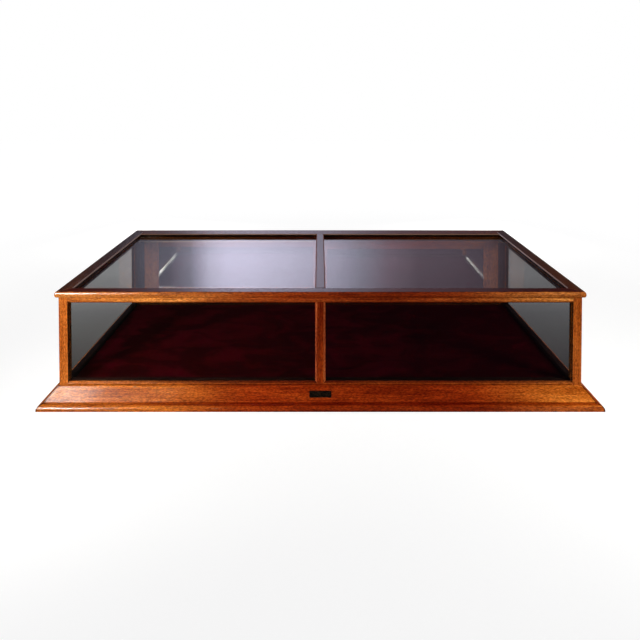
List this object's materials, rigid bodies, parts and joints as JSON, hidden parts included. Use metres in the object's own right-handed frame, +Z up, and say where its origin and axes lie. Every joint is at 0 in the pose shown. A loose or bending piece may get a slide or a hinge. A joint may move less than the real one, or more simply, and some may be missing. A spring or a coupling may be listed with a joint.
{
  "type": "countertop display case",
  "caption": "Low mahogany counter display case with glass front, ends and top, a velvet floor, a sloping plinth and mirrored sliding doors at the back.",
  "frame": {"origin": "centre of the bounding box on the plane that the case stands on", "axes": "+X along the case to the right as seen from its front, +Y towards the sliding doors at the back, +Z up"},
  "size_m": [1.276, 0.651, 0.26],
  "materials": {
    "mahogany": "polished red-brown mahogany",
    "dark_mahogany": "polished dark mahogany",
    "pine": "unfinished softwood",
    "beech": "waxed hardwood",
    "glass": "clear polished plate glass",
    "mirror": "silvered plate",
    "velvet": "dark red velvet",
    "brass": "aged brass",
    "bronze": "dark patinated bronze, bare"
  },
  "bodies": {
    "case": {"base_board": "pine", "batten_back": "pine", "batten_centre": "pine", "batten_front": "pine", "bottom_rail_front": "mahogany", "bottom_rail_left": "mahogany", "bottom_rail_right": "mahogany", "centre_rail": "mahogany", "door_head": "mahogany", "door_sill": "mahogany", "door_stop_left": "mahogany", "door_stop_right": "mahogany", "floor_lining": "velvet", "glass_front_left": "glass", "glass_front_right": "glass", "glass_side_left": "glass", "glass_side_right": "glass", "glass_top_left": "glass", "glass_top_right": "glass", "guide_inner": "beech", "guide_outer": "beech", "mullion_front": "mahogany", "nameplate": "bronze", "nameplate_pin_left": "bronze", "nameplate_pin_right": "bronze", "plinth_back": "mahogany", "plinth_front": "mahogany", "plinth_left": "mahogany", "plinth_right": "mahogany", "post_front_left": "mahogany", "post_front_right": "mahogany", "post_rear_left": "mahogany", "post_rear_right": "mahogany", "runner_inner": "beech", "runner_outer": "beech", "top_centre_bar": "dark_mahogany", "top_frame_back": "dark_mahogany", "top_frame_front": "dark_mahogany", "top_frame_left": "dark_mahogany", "top_frame_right": "dark_mahogany", "top_rail_front": "mahogany", "top_rail_left": "mahogany", "top_rail_right": "mahogany"},
    "left_door": {"left_door_back_panel": "pine", "left_door_bead_frame": "mahogany", "left_door_bottom_rail": "mahogany", "left_door_meeting_stile": "mahogany", "left_door_mirror": "mirror", "left_door_outer_stile": "mahogany", "left_door_pull": "brass", "left_door_top_rail": "mahogany"},
    "right_door": {"right_door_back_panel": "pine", "right_door_bead_frame": "mahogany", "right_door_bottom_rail": "mahogany", "right_door_meeting_stile": "mahogany", "right_door_mirror": "mirror", "right_door_outer_stile": "mahogany", "right_door_pull": "brass", "right_door_top_rail": "mahogany"}
  },
  "joints": [
    {"name": "left_door_slide", "type": "slide", "parent": "case", "child": "left_door", "axis": [1, 0, 0], "range_m": [0, 0.555]},
    {"name": "right_door_slide", "type": "slide", "parent": "case", "child": "right_door", "axis": [-1, 0, 0], "range_m": [0, 0.555]}
  ]
}
